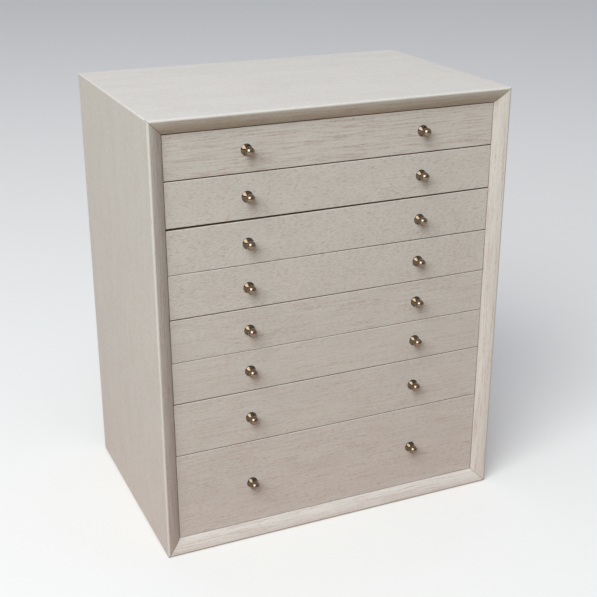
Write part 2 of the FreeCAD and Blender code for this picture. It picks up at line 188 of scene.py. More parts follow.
def smooth(piece, angle=35):
    """Smooth shading on rounded faces, with the large flat faces kept flat."""
    only(piece)
    bpy.ops.object.shade_smooth_by_angle(angle=math.radians(angle))
    apply_modifier(piece, "WEIGHTED_NORMAL", keep_sharp=True)


def turned(name, stations, sides):
    """A turned piece about the Y axis, through stations of place along Y and radius."""
    first = Vector((stations[0][1], stations[0][0], 0))
    bpy.ops.object.select_all(action="DESELECT")
    bpy.ops.mesh.primitive_plane_add(size=MM, location=first)
    piece = bpy.context.object
    piece.name = name
    settle(piece)
    open_mesh(piece, "SELECT")
    bpy.ops.mesh.merge(type="CENTER")
    last = first
    for along, radius in stations[1:]:
        point = Vector((radius, along, 0))
        bpy.ops.mesh.extrude_region_move(TRANSFORM_OT_translate={"value": point - last})
        last = point
    bpy.ops.mesh.select_all(action="SELECT")
    bpy.ops.mesh.spin(steps=sides, angle=2 * math.pi, center=(0, 0, 0), axis=(0, 1, 0))
    bpy.ops.mesh.select_all(action="SELECT")
    bpy.ops.mesh.remove_doubles(threshold=SAME)
    bpy.ops.mesh.normals_make_consistent(inside=False)
    close_mesh()
    return piece


def arc(centre_along, centre_radius, radius, start, end, steps):
    """Stations on an arc. The angle is 0 towards +Y and 90 degrees away from the axis."""
    angles = [math.radians(start + (end - start) * step / steps) for step in range(steps + 1)]
    return [(centre_along + radius * math.cos(angle), centre_radius + radius * math.sin(angle))
            for angle in angles]


def copied(piece, name, matrix):
    """A copy with its own mesh, moved and turned by a matrix."""
    copy = piece.copy()
    copy.data = piece.data.copy()
    copy.name = name
    copy.data.transform(matrix)
    bpy.context.scene.collection.objects.link(copy)
    return copy


def dress(piece, body, material, slot, *nodes):
    """Gives a finished piece its material, its body and the nodes that it stands for."""
    piece.data.materials.clear()
    piece.data.materials.append(material)
    if nodes:
        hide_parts(*nodes)
    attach(piece, body)


# ---------- Shader helpers ----------

def add(tree, kind, values=None, **settings):
    """A node. Each of its inputs takes a plain value or another node's output."""
    node = tree.nodes.new("ShaderNode" + kind)
    for key, value in settings.items():
        setattr(node, key, value)
    for key, value in (values or {}).items():
        if isinstance(value, bpy.types.NodeSocket):
            tree.links.new(value, node.inputs[key])
        else:
            node.inputs[key].default_value = value
    return node


def sums(tree, operation, *values):
    return add(tree, "Math", dict(enumerate(values)), operation=operation).outputs[0]


def span(tree, value, low, high, to_low=0.0, to_high=1.0):
    """A soft step from one value to another while the input goes from low to high."""
    inputs = {"Value": value, "From Min": low, "From Max": high, "To Min": to_low,
              "To Max": to_high}
    return add(tree, "MapRange", inputs, interpolation_type="SMOOTHSTEP").outputs[0]


def mixed(tree, share, first, second):
    """Two colours mixed by a share."""
    return add(tree, "Mix", {0: share, 6: first, 7: second}, data_type="RGBA").outputs[2]


def grain_noise(tree, vector, length, width, detail, roughness=0.5):
    """Noise drawn out along X, with marks of about this length and width in metres."""
    stretch = (1 / length, 1 / width, 1 / width)
    stretched = add(tree, "VectorMath", {0: vector, 1: stretch}, operation="MULTIPLY")
    noise = add(tree, "TexNoise", {"Vector": stretched.outputs[0], "Scale": 1.0,
                                   "Detail": detail, "Roughness": roughness})
    return noise.outputs["Fac"]


def group(name, inputs, outputs):
    """A shader node group with named sockets: the tree, its inputs and its output node."""
    tree = bpy.data.node_groups.new(name, "ShaderNodeTree")

    def socket(label, way, kind):
        return tree.interface.new_socket(label, in_out=way, socket_type="NodeSocket" + kind)

    for label, (kind, value) in inputs.items():
        made = socket(label, "INPUT", kind)
        if value is not None:
            made.default_value = value
    for label, kind in outputs.items():
        socket(label, "OUTPUT", kind)
    entry = tree.nodes.new("NodeGroupInput")
    leave = tree.nodes.new("NodeGroupOutput")
    return tree, entry.outputs, leave.inputs


def placed(tree, name, values):
    """Places a node group in a material."""
    return add(tree, "Group", values, node_tree=bpy.data.node_groups[name])


def material(name):
    """A new material: its tree and its Principled shader."""
    made = bpy.data.materials.new(name)
    made.use_nodes = True
    return made, made.node_tree, made.node_tree.nodes["Principled BSDF"]


def bump(tree, shader, height, depth):
    """Relief of a given depth in metres, from a height between 0 and 1."""
    relief = add(tree, "Bump", {"Height": height, "Distance": depth, "Strength": 1.0})
    tree.links.new(relief.outputs[0], shader.inputs["Normal"])


# ---------- Finishes ----------

# Tones of the limed oak: the pale wood, its grain marks, the lime in it, the paler arris, the
# glue line of a mitre, and what bare wood takes from the pale tone, also painted gap shade
PALE_OAK = (0.68, 0.655, 0.62, 1)
OAK_STREAK = (0.41, 0.25, 0.205, 1)
LIME = (0.80, 0.79, 0.77, 1)
ARRIS_PALE_TONE = (0.72, 0.72, 0.70, 1)
GLUE_TONE = (0.20, 0.16, 0.12, 1)
BARE_WOOD_AND_GAP_SHADE = (0.50, 0.38, 0.27, 1)

# Length and width of what makes up the figure, and how far its lines sway aside
DRIFT_SIZE = (90 * MM, 30 * MM)
LINE_SIZE = (45 * MM, 1.2 * MM)
FLECK_SIZE = (3.8 * MM, 0.72 * MM)
PORE_SIZE = (2.5 * MM, 0.30 * MM)
CLOUD_SIZE = (50 * MM, 22 * MM)
SWAY = 7 * MM

# Where in their noise the lines, the dashes, the lime, the pores and the clouds begin to
# show, and where they show in full
LINE_RANGE = (0.44, 0.66)
DASH_RANGE = (0.48, 0.72)
LIME_RANGE = (0.46, 0.28)
PORE_RANGE = (0.55, 0.75)
CLOUD_RANGE = (0.35, 0.65)

# How strongly the clouds, the lime and the fine pores of the oak show, and the paler arris
CLOUD_VALUE = 0.965
LIME_SHARE = 0.22
PORE_SHARE = 0.16
ARRIS_PALE_SHARE = 0.6

# Roughness of the lacquer between the grain marks, and how much more it has on them
LACQUER_ROUGHNESS = 0.54
MARK_ROUGHNESS = 0.12
GRAIN_RELIEF = 0.06 * MM

# Lines and dashes in the grain of the case, as strong as on its flat faces
MEMBER_LINES = 0.14
MEMBER_DASHES = 0.26

# Lines and dashes of the unlimed wood, and which part of the figure it shows
PLAIN_LINES = 0.5
PLAIN_DASHES = 0.3
PLAIN_SHIFT = (0.4, 0.2, 0.1)

# On the bevel of the mouldings the grain lines show more strongly, and the dashes less
BEVEL_LINES = 0.40
BEVEL_DASHES = 0.14

# Turns that lay the grain, which the groups draw along X, along another axis
GRAIN_TURN = {"X": (0, 0, 0), "Y": (0, 0, math.pi / 2), "Z": (0, math.pi / 2, 0)}

# From where to where each place of the case fades in or out: the glue line from the middle
# of a mitre, the bevel and the arris from the outer face, the arris from the very front, and
# the bare inner faces behind the drawer fronts, darkened also as painted shade in the gaps
GLUE_FADE = (0.12 * MM, 0.38 * MM)
BEVEL_FADE = (1.6 * MM, 2.6 * MM)
ARRIS_FADE = (1.9 * MM, 2.4 * MM)
FOREMOST_FADE = (0.25 * MM, 0.60 * MM)
INSIDE_FADE = (RECESS + 0.7 * MM, RECESS + 1.1 * MM)


def oak_figure():
    """Open-pored limed oak: long grain lines, short dashes of pores that may lie aslant,
    white lime between them, and broad soft clouds."""
    tree, entry, leave = group("oak figure", {
        "Vector": ("Vector", None),
        "Pale": ("Color", PALE_OAK),
        "Streak": ("Color", OAK_STREAK),
        "Lines": ("Float", 0.5),
        "Dashes": ("Float", 0.5),
        "Slant": ("Float", 0.0),
    }, {"Color": "Color", "Roughness": "Float", "Height": "Float"})
    place = entry["Vector"]
    drift = sums(tree, "SUBTRACT", grain_noise(tree, place, *DRIFT_SIZE, detail=1), 0.5)
    sway = sums(tree, "MULTIPLY", drift, SWAY)
    offset = add(tree, "CombineXYZ", {"Y": sway, "Z": sway})
    swayed = add(tree, "VectorMath", {0: place, 1: offset.outputs[0]}, operation="ADD")
    place = swayed.outputs[0]
    aslant = add(tree, "VectorRotate", {"Vector": place, "Axis": (0, 1, 0),
                                        "Angle": entry["Slant"]}).outputs[0]
    strands = grain_noise(tree, place, *LINE_SIZE, detail=3, roughness=0.6)
    lines = span(tree, strands, *LINE_RANGE)
    flecks = grain_noise(tree, aslant, *FLECK_SIZE, detail=2)
    dashes = span(tree, flecks, *DASH_RANGE)
    lime = span(tree, flecks, *LIME_RANGE)
    pores = span(tree, grain_noise(tree, place, *PORE_SIZE, detail=1), *PORE_RANGE)
    clouds = span(tree, grain_noise(tree, place, *CLOUD_SIZE, detail=2), *CLOUD_RANGE)
    broken = sums(tree, "MULTIPLY_ADD", dashes, 0.5, 0.5)
    long_marks = sums(tree, "MULTIPLY", sums(tree, "MULTIPLY", lines, broken), entry["Lines"])
    short_marks = sums(tree, "MULTIPLY", dashes, entry["Dashes"])
    fine_marks = sums(tree, "MULTIPLY", pores, PORE_SHARE)
    marks = sums(tree, "ADD", sums(tree, "ADD", long_marks, short_marks), fine_marks)
    marks = sums(tree, "MINIMUM", marks, 1.0)
    cloud = add(tree, "HueSaturation", {"Color": entry["Pale"], "Value": CLOUD_VALUE})
    ground = mixed(tree, clouds, entry["Pale"], cloud.outputs[0])
    filled = sums(tree, "MULTIPLY", lime, LIME_SHARE)
    ground = mixed(tree, filled, ground, LIME)
    tree.links.new(mixed(tree, marks, ground, entry["Streak"]), leave["Color"])
    dull = sums(tree, "MULTIPLY_ADD", marks, MARK_ROUGHNESS, LACQUER_ROUGHNESS)
    tree.links.new(dull, leave["Roughness"])
    tree.links.new(sums(tree, "SUBTRACT", 1.0, marks), leave["Height"])


def case_places():
    """Where the places of the case are that are finished in their own way: the glue line of
    the mitres, the bevel, the paler arris round the front, and the inner faces behind the
    drawer fronts, which are left without lime and darkened as painted shade in the gaps."""
    tree, entry, leave = group("case places", {"Vector": ("Vector", None)}, {
        "Joint": "Float", "Bevel": "Float", "Arris": "Float", "Inside": "Float"})
    parts = add(tree, "SeparateXYZ", {0: entry["Vector"]}).outputs
    from_side = sums(tree, "SUBTRACT", CASE_HALF, sums(tree, "ABSOLUTE", parts["X"]))
    from_middle = sums(tree, "SUBTRACT", parts["Z"], CASE_TOP / 2)
    from_end = sums(tree, "SUBTRACT", CASE_TOP / 2, sums(tree, "ABSOLUTE", from_middle))
    inward = sums(tree, "MINIMUM", from_side, from_end)
    back = sums(tree, "SUBTRACT", parts["Y"], FRONT_Y)
    apart = sums(tree, "ABSOLUTE", sums(tree, "SUBTRACT", from_side, from_end))
    line = span(tree, apart, *GLUE_FADE, 1.0, 0.0)
    at_front = sums(tree, "LESS_THAN", back, RECESS + MM)
    tree.links.new(sums(tree, "MULTIPLY", line, at_front), leave["Joint"])
    on_bevel = sums(tree, "MULTIPLY", span(tree, inward, *BEVEL_FADE), at_front)
    tree.links.new(on_bevel, leave["Bevel"])
    foremost = span(tree, back, *FOREMOST_FADE, 1.0, 0.0)
    outermost = span(tree, inward, *ARRIS_FADE, 1.0, 0.0)
    tree.links.new(sums(tree, "MULTIPLY", foremost, outermost), leave["Arris"])
    behind = span(tree, back, *INSIDE_FADE)
    inner = sums(tree, "GREATER_THAN", inward, BOARD - 0.5 * MM)
    tree.links.new(sums(tree, "MULTIPLY", behind, inner), leave["Inside"])


oak_figure()
case_places()


def limed_oak(name, axis, shift, lines, dashes, slant=0.0, pale=PALE_OAK,
              streak=OAK_STREAK, place=None):
    """Oak rubbed with white, under satin lacquer. Shift moves on to another part of the
    board's figure. Place is "member" for the mouldings and boards of the case, "front" for
    the drawer fronts, and None for wood without any of the case's own places."""
    made, tree, shader = material(name)
    coordinates = add(tree, "TexCoord").outputs["Object"]
    laid = add(tree, "Mapping", {
        "Vector": coordinates, "Rotation": GRAIN_TURN[axis], "Location": shift})
    figure = placed(tree, "oak figure", {
        "Vector": laid.outputs[0], "Pale": pale, "Streak": streak,
        "Lines": lines, "Dashes": dashes, "Slant": slant})
    color = figure.outputs["Color"]
    if place:
        at = placed(tree, "case places", {"Vector": coordinates}).outputs
        if place == "member":
            strong = sums(tree, "MULTIPLY_ADD", at["Bevel"], BEVEL_LINES, lines)
            weak = sums(tree, "MULTIPLY_ADD", at["Bevel"], -BEVEL_DASHES, dashes)
            tree.links.new(strong, figure.inputs["Lines"])
            tree.links.new(weak, figure.inputs["Dashes"])
            # Paler along the arris round the front
            arris_pale = sums(tree, "MULTIPLY", at["Arris"], ARRIS_PALE_SHARE)
            color = mixed(tree, arris_pale, color, ARRIS_PALE_TONE)
            color = mixed(tree, at["Joint"], color, GLUE_TONE)
        # Bare inner faces behind the drawer fronts, darkened also as painted shade in the gaps
        bare_and_gap_shade = add(tree, "Mix", {0: 1.0, 6: color, 7: BARE_WOOD_AND_GAP_SHADE},
                   data_type="RGBA", blend_type="MULTIPLY").outputs[2]
        color = mixed(tree, at["Inside"], color, bare_and_gap_shade)
    tree.links.new(color, shader.inputs["Base Color"])
    tree.links.new(figure.outputs["Roughness"], shader.inputs["Roughness"])
    shader.inputs["Specular IOR Level"].default_value = 0.25
    bump(tree, shader, figure.outputs["Height"], GRAIN_RELIEF)
    return made


def plain_wood(name, axis, pale, streak):
    """Sealed, unlimed wood of the drawer boxes and runners."""
    return limed_oak(name, axis, PLAIN_SHIFT, PLAIN_LINES, PLAIN_DASHES, pale=pale,
                     streak=streak)


# Pairs of tones that each finish wanders between, and the tone and depth of the velvet's pile
# Painted bronze tones: the dark brown is partly a painted reflection of a dark room and a
# brown surface below. The darker pair is painted shade for the bases, and the brighter pair is
# a painted highlight for the balls.
BRONZE_SHADED_BASE = (0.102, 0.063, 0.026, 1), (0.088, 0.054, 0.022, 1)
BRONZE_LIT_BALL = (0.185, 0.104, 0.046, 1), (0.163, 0.092, 0.041, 1)
STEEL_TONES = (0.62, 0.61, 0.58, 1), (0.50, 0.49, 0.46, 1)
VELVET_TONES = (0.46, 0.40, 0.32, 1), (0.38, 0.32, 0.25, 1)
VELVET_DEEP = (0.30, 0.25, 0.19, 1)
PILE_RELIEF = 0.15 * MM

# Roughness of each metal: what its tone adds at most, and the least that it has
BRONZE_ROUGHNESS = (0.04, 0.04)
STEEL_ROUGHNESS = (0.15, 0.28)

# Where along its axis a knob turns from its base, painted dark as shade, to its ball, painted
# bright as a highlight, and its lacquer: what the ball has more than the base, and what the
# base has
BASE_TO_LIT_BALL_FADE = (DRAWER_Y - 3.2 * MM, DRAWER_Y - 4.4 * MM)
KNOB_COAT = (0.55, 0.45)


def knob_metal():
    """Dark bronze under clear lacquer, a little uneven in tone where it was turned. Its dark
    brown tone is partly a painted reflection of a dark room and a brown surface below. The
    balls are painted brighter than the bases: a painted highlight on the balls, painted shade
    on the bases."""
    made, tree, shader = material("knob metal")
    coordinates = add(tree, "TexCoord").outputs["Object"]
    along = add(tree, "SeparateXYZ", {0: coordinates}).outputs["Y"]
    # Painted: the ball brighter as a highlight, the base darker as shade
    lit_ball = span(tree, along, *BASE_TO_LIT_BALL_FADE)
    patina = add(tree, "TexNoise", {"Vector": coordinates, "Scale": 900.0, "Detail": 3.0})
    tone = span(tree, patina.outputs["Fac"], 0.35, 0.7)
    dark = mixed(tree, tone, *BRONZE_SHADED_BASE)
    bright = mixed(tree, tone, *BRONZE_LIT_BALL)
    tree.links.new(mixed(tree, lit_ball, dark, bright), shader.inputs["Base Color"])
    dull = sums(tree, "MULTIPLY_ADD", tone, *BRONZE_ROUGHNESS)
    tree.links.new(dull, shader.inputs["Roughness"])
    shader.inputs["Metallic"].default_value = 1.0
    coat = sums(tree, "MULTIPLY_ADD", lit_ball, *KNOB_COAT)
    tree.links.new(coat, shader.inputs["Coat Weight"])
    shader.inputs["Coat Roughness"].default_value = 0.03
    shader.inputs["Coat IOR"].default_value = 1.85
    return made


def steel():
    """Zinc-plated steel, a little cloudy."""
    made, tree, shader = material("screw steel")
    coordinates = add(tree, "TexCoord").outputs["Object"]
    bloom = add(tree, "TexNoise", {"Vector": coordinates, "Scale": 1400.0, "Detail": 2.0})
    tone = span(tree, bloom.outputs["Fac"], 0.3, 0.7)
    tree.links.new(mixed(tree, tone, *STEEL_TONES), shader.inputs["Base Color"])
    dull = sums(tree, "MULTIPLY_ADD", tone, *STEEL_ROUGHNESS)
    tree.links.new(dull, shader.inputs["Roughness"])
    shader.inputs["Metallic"].default_value = 1.0
    return made


def velvet():
    """Short-pile velvet: soft patches where the nap lies another way, and a sheen."""
    made, tree, shader = material("velvet")
    coordinates = add(tree, "TexCoord").outputs["Object"]
    nap = add(tree, "TexNoise", {"Vector": coordinates, "Scale": 22.0, "Detail": 3.0})
    pile = add(tree, "TexNoise", {"Vector": coordinates, "Scale": 2600.0, "Detail": 1.0})
    patches = span(tree, nap.outputs["Fac"], 0.38, 0.62)
    ground = mixed(tree, patches, *VELVET_TONES)
    tone = span(tree, pile.outputs["Fac"], 0.3, 0.7)
    tree.links.new(mixed(tree, tone, ground, VELVET_DEEP), shader.inputs["Base Color"])
    shader.inputs["Roughness"].default_value = 0.95
    shader.inputs["Sheen Weight"].default_value = 0.7
    shader.inputs["Sheen Roughness"].default_value = 0.35
    shader.inputs["Sheen Tint"].default_value = (0.95, 0.88, 0.78, 1)
    bump(tree, shader, pile.outputs["Fac"], PILE_RELIEF)
    return made


# The ground and the streaks of the woods inside and at the back
BOX_TONES = (0.60, 0.50, 0.37, 1), (0.42, 0.31, 0.20, 1)
RUNNER_TONES = (0.42, 0.31, 0.20, 1), (0.26, 0.17, 0.10, 1)
BACK_TONES = (0.56, 0.54, 0.49, 1), (0.42, 0.37, 0.32, 1)

KNOB_METAL = knob_metal()
STEEL = steel()
VELVET = velvet()
BOX_WOOD_Y = plain_wood("drawer wood, sides", "Y", *BOX_TONES)
BOX_WOOD_X = plain_wood("drawer wood, backs", "X", *BOX_TONES)
RUNNER_WOOD = plain_wood("runner wood", "Y", *RUNNER_TONES)
BACK_BOARD = limed_oak("limed back board", "Z", (3.1, 0.7, 0.3), 0.15, 0.15, 0.0, *BACK_TONES)


# ---------- Cabinet ----------

# Each member is modelled as the bottom one: its length along X, its front at Y = 0, and its
# outer face at Z = 0. It is then turned about Y, and its outer middle goes to a place.
MEMBERS = {
    "bottom": (0, Vector((0, 0, 0))),
    "left": (90, Vector((-CASE_HALF, 0, CASE_TOP / 2))),
    "top": (180, Vector((0, 0, CASE_TOP))),
    "right": (-90, Vector((CASE_HALF, 0, CASE_TOP / 2))),
}

# The grain of each member runs along this axis, and starts at its own place in the figure
MEMBER_GRAIN = {
    "bottom": ("X", (0.3, 0.9, 0.2)),
    "left": ("Z", (0.7, 0.1, 0.6)),
    "top": ("X", (0.2, 0.5, 0.8)),
    "right": ("Z", (0.9, 0.4, 0.1)),
}
OAK = {side: limed_oak(f"limed oak, {side}", axis, shift, MEMBER_LINES, MEMBER_DASHES,
                       place="member")
       for side, (axis, shift) in MEMBER_GRAIN.items()}


def member_half(side):
    return CASE_TOP / 2 if side in ("left", "right") else CASE_HALF


def mitre_ends(piece, half):
    """Rounds the two outer corners as seen from the front, and mitres both ends."""
    for way in (-1, 1):
        round_off(piece, (way * (half - ARRIS), 0, ARRIS), ARRIS, (0, 0, -1), (way, 0, 0),
                  math.pi / 4, CORNER_STEPS)
        cut(piece, (way * half, 0, 0), (way, 0, 1))


def place_member(piece, side, front):
    """Turns a finished member into its side of the cabinet."""
    turn, middle = MEMBERS[side]
    piece.rotation_euler = (0, math.radians(turn), 0)
    piece.location = middle + Vector((0, front, 0))
    settle(piece)


def moulding(side, node):
    """A front moulding: a rounded arris that runs on into a convex bevel, back to the
    drawers. Where two of them meet, a fine groove shows the mitre."""
    half = member_half(side)
    depth = MOULDING_BACK - FRONT_Y
    start = Vector((0, -math.cos(BEVEL_START), math.sin(BEVEL_START)))
    edge = Vector((0, ARRIS, ARRIS)) + start * ARRIS
    across, back = BOARD - edge.z, RECESS - edge.y
    turn = 2 * (math.atan2(back, across) - BEVEL_START)
    radius = math.hypot(across, back) / (2 * math.sin(turn / 2))
    piece = block(f"{node}_moulding", (-half, 0, 0), (half, depth, BOARD))
    round_off(piece, (0, ARRIS, ARRIS), ARRIS, (0, 0, -1), (0, -1, 0),
              math.pi / 2 + BEVEL_START, ARRIS_STEPS)
    round_off(piece, edge - start * radius, radius, start,
              (0, math.sin(BEVEL_START), math.cos(BEVEL_START)), turn, BEVEL_STEPS)
    mitre_ends(piece, half)

    def on_mitre(a, b):
        return all(abs(abs(end.x) + end.z - half) < SAME * 10 and end.y < RECESS + MM
                   for end in (a, b))

    pick_edges(piece, on_mitre)
    bevel(SEAM, 1)
    place_member(piece, side, FRONT_Y)
    smooth(piece)
    dress(piece, "case", OAK[side], "limed_oak", node)


def cabinet_board(side, node):
    """A cabinet board behind its moulding, with a rebate for the back panel."""
    half = member_half(side)
    length = REAR_Y - MOULDING_BACK
    piece = block(f"{node}_panel", (-half, 0, 0), (half, length, BOARD))
    carve(piece, block("rebate", (-2 * half, length - REBATE_DEPTH, BOARD - REBATE_WIDTH),
                       (2 * half, length + MM, BOARD + MM)))
    pick_edges(piece, lambda a, b: min(a.y, b.y) > length - SAME and max(a.z, b.z) < SAME)
    bevel(REAR_EASED, EASED_STEPS)
    mitre_ends(piece, half)
    place_member(piece, side, MOULDING_BACK)
    smooth(piece)
    dress(piece, "case", OAK[side], "limed_oak", node)


for side, node in {"bottom": "frame_bottom_rail", "left": "frame_left_stile",
                   "top": "frame_top_rail", "right": "frame_right_stile"}.items():
    moulding(side, node)
for side, node in {"bottom": "bottom_board", "left": "left_side", "top": "top_board",
                   "right": "right_side"}.items():
    cabinet_board(side, node)


# ---------- Back screws ----------

SCREW_HEAD = 2.6 * MM
SCREW_SHANK = 1.2 * MM
SCREW_HEAD_HEIGHT = 1.6 * MM
SCREW_LENGTH = 16 * MM
RECESS_LONG = 1.5 * MM
RECESS_WIDE = 0.35 * MM
RECESS_DEEP = 1.1 * MM
SCREW_SIDES = 32
SCREW_ROWS = 4
SCREW_RIM = 0.15 * MM
RIM_CORNER = 0.3 * SCREW_RIM

# Each next screw stands this many degrees further round, as no two stop alike
SCREW_TURN = 37


def screw():
    """A countersunk screw with a cross recess: its head faces +Y, its tip -Y."""
    piece = turned("screw", [
        (0, 0), (0, SCREW_HEAD - SCREW_RIM), (-RIM_CORNER, SCREW_HEAD - RIM_CORNER),
        (-SCREW_RIM, SCREW_HEAD), (-SCREW_HEAD_HEIGHT, SCREW_SHANK),
        (-SCREW_LENGTH + SCREW_SHANK, SCREW_SHANK), (-SCREW_LENGTH, 0)], SCREW_SIDES)
    for x, z in ((RECESS_LONG, RECESS_WIDE), (RECESS_WIDE, RECESS_LONG)):
        carve(piece, block("slot", (-x, -RECESS_DEEP, -z), (x, MM, z)))
    smooth(piece)
    return piece


screw_low, screw_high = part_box("back_screws")
first_screw = screw()
count = 0
for x in (screw_low.x + SCREW_HEAD, screw_high.x - SCREW_HEAD):
    for row in range(SCREW_ROWS):
        reach = screw_high.z - screw_low.z - 2 * SCREW_HEAD
        z = screw_low.z + SCREW_HEAD + reach * row / (SCREW_ROWS - 1)
        count += 1
        turn = Matrix.Rotation(math.radians(SCREW_TURN * count), 4, "Y")
        matrix = Matrix.Translation((x, REAR_Y, z)) @ turn
        dress(copied(first_screw, f"back_screw_{count}", matrix), "case", STEEL,
              "screw_steel", "back_screws")
bpy.data.objects.remove(first_screw)


# ---------- Knobs ----------

BASE_RADIUS = 5.3 * MM
KNOB_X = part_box("drawer_1_knobs")[1].x - BASE_RADIUS
RIM = 0.6 * MM
RIM_ROUND = 0.3 * MM
NECK_RADIUS = 2.3 * MM
BALL_RADIUS = 4.3 * MM
BALL_REACH = 7.6 * MM
STUD_RADIUS = 1.25 * MM
STUD_LENGTH = 9 * MM
CONE_END = 3.7 * MM
HOLLOW = 0.08 * MM
CONE_STEPS = 6
STUD_EASED = 0.3 * MM
BASE_EASED = 0.1 * MM
KNOB_SIDES = 56
RIM_STEPS = 5
BALL_STEPS = 26

# The angle in degrees at which the rounded rim of the base meets the cone of its face
RIM_END = 165


def knob_level(number):
    """Height of the middle of one drawer's knobs."""
    low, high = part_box(f"drawer_{number}_knobs")
    return (low.z + high.z) / 2


def knob():
    """A turned knob on the Y axis, its back at Y = 0: a stud, a round base whose face is a
    slightly hollow cone, a short neck and a ball."""
    stations = [(STUD_LENGTH, 0), (STUD_LENGTH, STUD_RADIUS - STUD_EASED),
                (STUD_LENGTH - STUD_EASED, STUD_RADIUS), (0, STUD_RADIUS),
                (0, BASE_RADIUS - BASE_EASED), (-BASE_EASED, BASE_RADIUS)]
    stations += arc(-RIM + RIM_ROUND, BASE_RADIUS - RIM_ROUND, RIM_ROUND, 90, RIM_END,
                    RIM_STEPS)
    start_y, start_radius = stations[-1]
    for step in range(1, CONE_STEPS + 1):
        share = step / CONE_STEPS
        sag = HOLLOW * math.sin(math.pi * share)
        stations.append((start_y + (-CONE_END - start_y) * share + sag,
                         start_radius + (NECK_RADIUS - start_radius) * share - sag))
    neck_angle = math.degrees(math.asin(NECK_RADIUS / BALL_RADIUS))
    stations += arc(-BALL_REACH, 0, BALL_RADIUS, neck_angle, 180, BALL_STEPS)
    stations[-1] = (-BALL_REACH - BALL_RADIUS, 0)
    piece = turned("knob", stations, KNOB_SIDES)
    smooth(piece, angle=40)
    return piece


# ---------- Drawers ----------

# The boxes and what they run on
SIDE_THICKNESS = 8 * MM
RUNNER_LIFT = 14 * MM
RUNNER_HEIGHT = 8 * MM
RUNNER_PLAY = 0.3 * MM
RUNNER_GROOVE = 4 * MM
TOP_EASED = 1.2 * MM
TOP_STEPS = 4

# The velvet linings and the ring rolls
LINING = 1.5 * MM
LINING_CORNER = 2.5 * MM
LINING_CORNER_STEPS = 5
LINING_ROLLED = 0.55 * MM
LINING_ROLLED_STEPS = 3
FACES_UP = 0.9
ROLLS = 12
ROLL_END = 2.2 * MM
ROLL_TUCK = 0.8 * MM
ROLL_END_STEPS = 8
ROLL_SIDES = 40

# The tuck in the end of a roll: its share of the full depth at each share of the radius
TUCK_SHAPE = ((1, 0), (0.6, 0.25), (0.15, 0.5))

# Where the rings round a roll lie, as shares of the way from its end to its middle
ROLL_RINGS = (0.1, 0.2, 0.4, 0.6, 0.8)

# Oak of each drawer front: how strongly its grain shows as long lines and as short dashes,
# and how far the dashes lie aslant
FRONT_FIGURE = {1: (0.66, 0.14, 0.00), 2: (0.05, 0.39, 0.14), 3: (0.06, 0.41, 0.12),
                4: (0.05, 0.39, 0.12), 5: (0.34, 0.26, 0.04), 6: (0.29, 0.20, 0.04),
                7: (0.31, 0.20, 0.00), 8: (0.33, 0.26, 0.00)}

# How far on in the figure each next front starts, along X, Y and Z in metres
FIGURE_STEP = (0.37, 0.21, 0.13)


def drawer_front(number):
    """An inset front, with its edges eased, a groove for the bottom and two stud holes."""
    low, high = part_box(f"drawer_{number}_front")
    piece = block(f"drawer_{number}_front_board", low, high)
    lean = FRONT_LEAN.get(number, 0)
    for x, drop in ((low.x, -lean), (high.x, lean)):
        pick_edges(piece, lambda a, b: all(
            abs(end.x - x) < SAME and end.z > high.z - SAME for end in (a, b)))
        bpy.ops.transform.translate(value=(0, 0, drop))
        close_mesh()
    bottom_low, bottom_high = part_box(f"drawer_{number}_bottom")
    play = Vector((GROOVE_PLAY, 0, 0))
    groove = block("groove", bottom_low - play, bottom_high + play)
    bores = []
    for way in (-1, 1):
        bpy.ops.mesh.primitive_cylinder_add(
            vertices=24, radius=STUD_HOLE, depth=2 * STUD_HOLE_DEPTH,
            location=(way * KNOB_X, low.y, knob_level(number)),
            rotation=(math.pi / 2, 0, 0))
        bores.append(bpy.context.object)
    pick_edges(piece, lambda a, b: max(a.y, b.y) < low.y + SAME)
    bevel(EASED, EASED_STEPS)
    carve(piece, groove, *bores)
    smooth(piece)
    lines, dashes, slant = FRONT_FIGURE[number]
    shift = tuple(step * number for step in FIGURE_STEP)
    oak = limed_oak(f"limed oak, front {number}", "X", shift, lines, dashes, slant,
                    place="front")
    dress(piece, f"drawer_{number}", oak, "limed_oak", f"drawer_{number}_front")


def drawer_sides(number):
    """Two box sides with their runner and bottom grooves, and rounded top edges."""
    low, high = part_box(f"drawer_{number}_sides")
    bottom_low, bottom_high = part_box(f"drawer_{number}_bottom")
    runner_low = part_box(f"drawer_{number}_front")[0].z + RUNNER_LIFT

    def stretch(a, b, y_low, y_high, z_low, z_high):
        return block("stretch", (min(a, b), y_low, z_low), (max(a, b), y_high, z_high))

    for name, way in (("left", -1), ("right", 1)):
        outer, inner = way * high.x, way * (high.x - SIDE_THICKNESS)
        piece = stretch(outer, inner, low.y, high.y, low.z, high.z)
        piece.name = f"drawer_{number}_side_{name}"
        pick_edges(piece, lambda a, b: min(a.z, b.z) > high.z - SAME
                   and abs(a.x - b.x) < SAME)
        bevel(TOP_EASED, TOP_STEPS)
        carve(piece,
              stretch(outer + way * MM, outer - way * RUNNER_GROOVE, low.y - MM, high.y + MM,
                      runner_low - RUNNER_PLAY, runner_low + RUNNER_HEIGHT + RUNNER_PLAY),
              stretch(inner - way * MM, inner + way * GROOVE_DEPTH, low.y - MM, high.y + MM,
                      bottom_low.z, bottom_high.z))
        smooth(piece)
        dress(piece, f"drawer_{number}", BOX_WOOD_Y, "drawer_wood", f"drawer_{number}_sides")


def drawer_back(number):
    low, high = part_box(f"drawer_{number}_back")
    piece = block(f"drawer_{number}_back_board", low, high)
    pick_edges(piece, lambda a, b: min(a.z, b.z) > high.z - SAME and abs(a.y - b.y) < SAME)
    bevel(TOP_EASED, TOP_STEPS)
    smooth(piece)
    dress(piece, f"drawer_{number}", BOX_WOOD_X, "drawer_wood", f"drawer_{number}_back")


